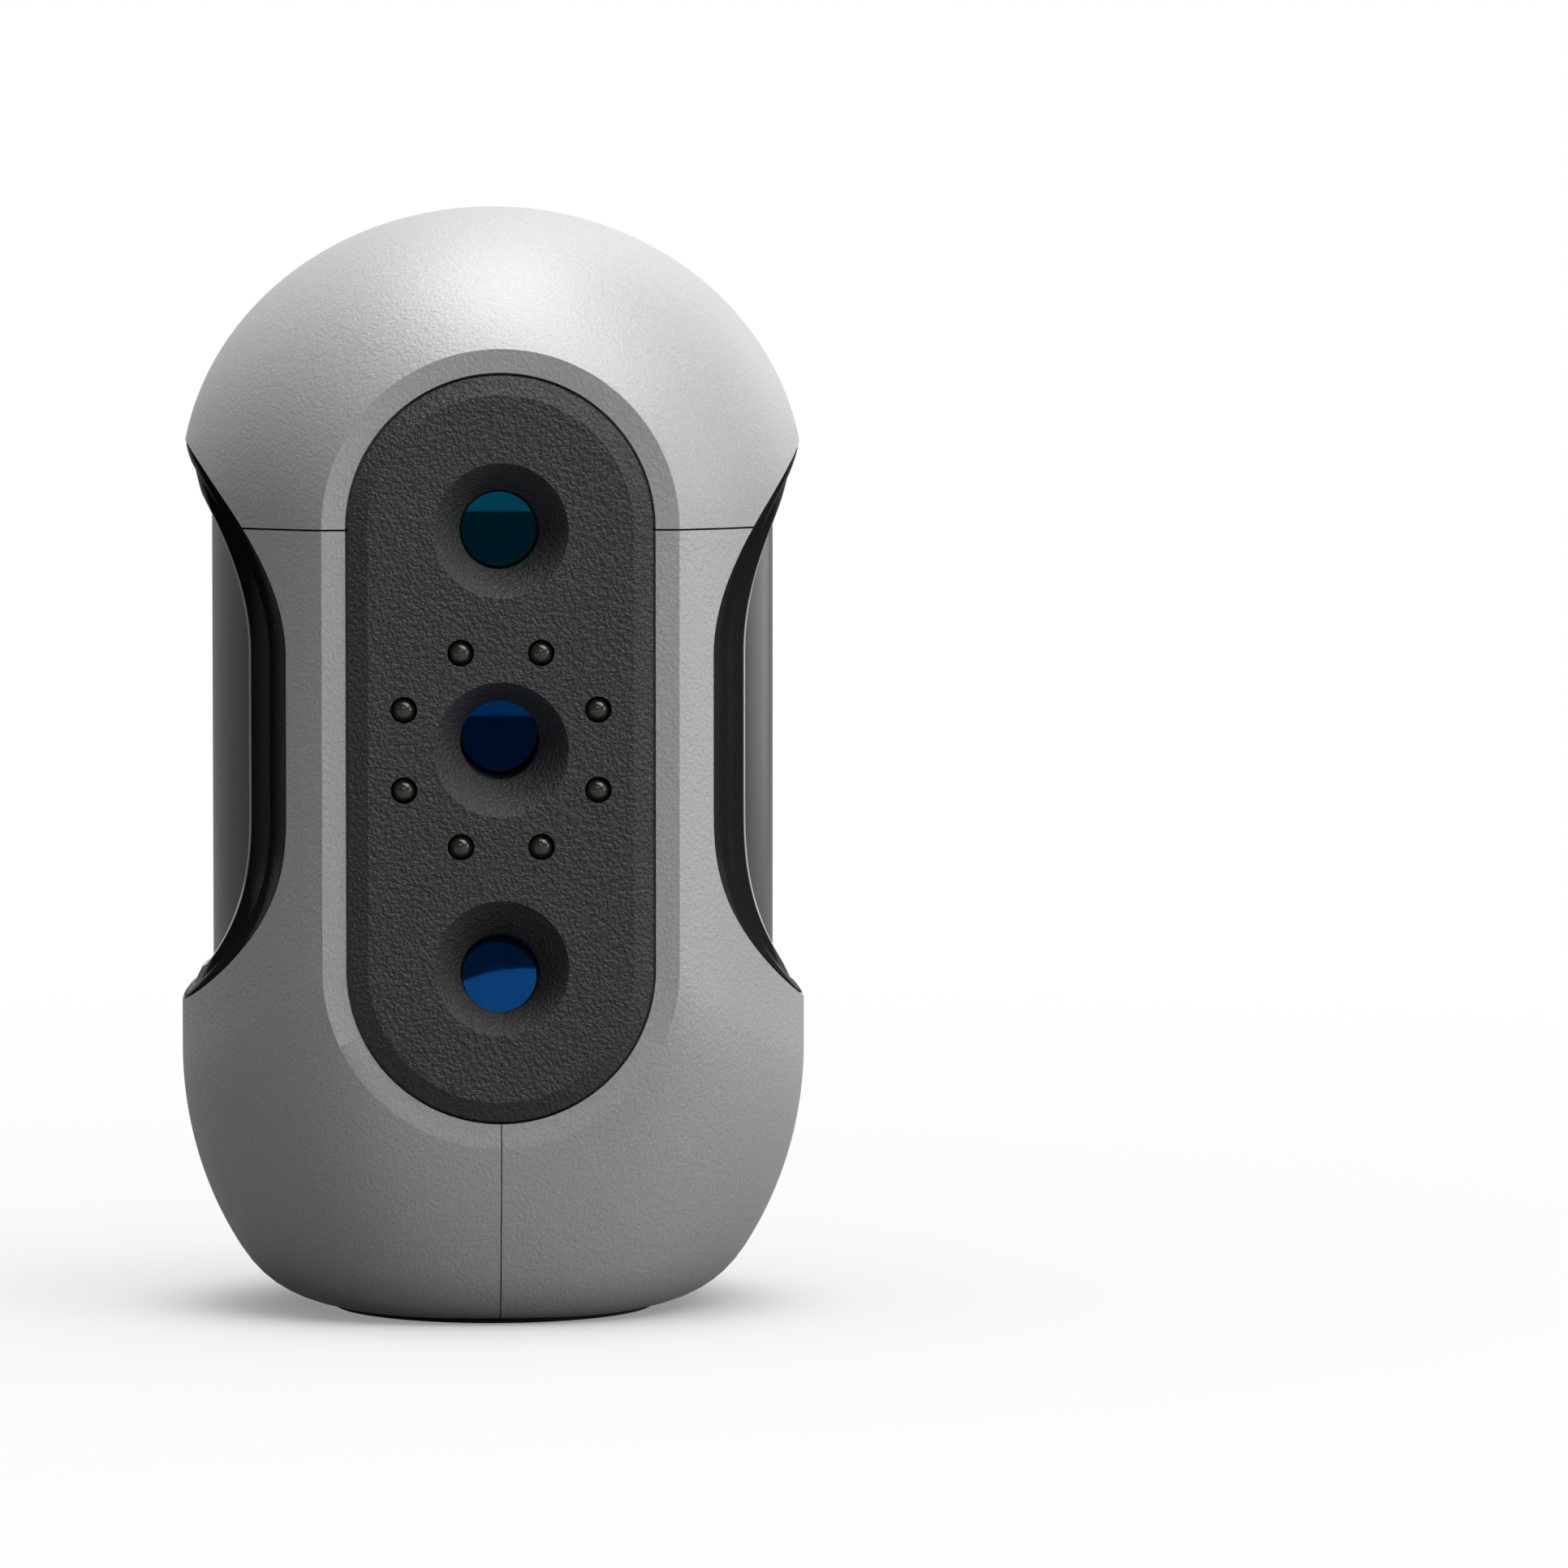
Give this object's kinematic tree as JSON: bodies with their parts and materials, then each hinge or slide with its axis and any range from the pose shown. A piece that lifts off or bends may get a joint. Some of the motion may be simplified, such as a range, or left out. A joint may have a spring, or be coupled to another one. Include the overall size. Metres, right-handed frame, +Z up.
{
  "type": "hand-held three-d scanner",
  "caption": "Hand-held structured-light scanner with a waisted two-lobed casing, a front panel with lens recesses and lamps, a sprung scan button, a cable socket and a tripod hole.",
  "frame": {"origin": "on the ground, at the centre of the bounding box's underside", "axes": "+Z up along the casing's length; the lens panel faces -Y; X is the width"},
  "size_m": [0.066, 0.0532, 0.1166],
  "materials": {
    "silver_casing": "fine-grained satin silver",
    "gloss_black_trim": "gloss black",
    "gloss_grey_grip": "gloss dark grey",
    "charcoal_panel": "matt charcoal with a leather grain",
    "dark_rubber": "matt",
    "black_moulding": "matt black",
    "coated_glass": "blue coated glass",
    "clear_lamp": "clear domed resin",
    "circuit_board": "green solder mask",
    "chip_black": "matt black",
    "cast_alloy": "bead blasted",
    "plated_steel": "plated"
  },
  "bodies": {
    "scanner": {"top_cover": "silver_casing", "left_cover": "silver_casing", "right_cover": "silver_casing", "left_grip_trim": "gloss_black_trim", "right_grip_trim": "gloss_black_trim", "rear_grip_cover": "gloss_grey_grip", "front_panel": "charcoal_panel", "base_foot": "dark_rubber", "panel_gasket": "dark_rubber", "upper_barrel": "black_moulding", "middle_barrel": "black_moulding", "lower_barrel": "black_moulding", "socket_insert": "black_moulding", "upper_lens": "coated_glass", "middle_lens": "coated_glass", "lower_lens": "coated_glass", "upper_inner_lens": "coated_glass", "middle_inner_lens": "coated_glass", "lower_inner_lens": "coated_glass", "led_1": "clear_lamp", "led_2": "clear_lamp", "led_3": "clear_lamp", "led_4": "clear_lamp", "led_5": "clear_lamp", "led_6": "clear_lamp", "led_7": "clear_lamp", "led_8": "clear_lamp", "status_light_pipe": "clear_lamp", "upper_sensor_board": "circuit_board", "middle_sensor_board": "circuit_board", "lower_projector_board": "circuit_board", "led_board": "circuit_board", "main_board": "circuit_board", "button_board": "circuit_board", "processor": "chip_black", "optical_bench": "cast_alloy", "heat_sink": "cast_alloy", "bench_screw_1": "plated_steel", "bench_screw_2": "plated_steel", "bench_screw_3": "plated_steel", "bench_screw_4": "plated_steel", "board_screw_1": "plated_steel", "board_screw_2": "plated_steel", "board_screw_3": "plated_steel", "board_screw_4": "plated_steel", "button_screw_1": "plated_steel", "button_screw_2": "plated_steel", "base_screw_1": "plated_steel", "base_screw_2": "plated_steel", "base_screw_3": "plated_steel", "base_screw_4": "plated_steel", "cable_socket": "plated_steel", "socket_nut": "plated_steel", "tripod_plate": "plated_steel"},
    "button": {"scan_button": "black_moulding", "switch_plunger": "black_moulding"}
  },
  "joints": [
    {"name": "scan_button_press", "type": "slide", "parent": "scanner", "child": "button", "axis": [0, -1, 0], "range_m": [0, 0.0006], "stiffness_N_per_m": 1500, "springref_m": -0.0005}
  ]
}
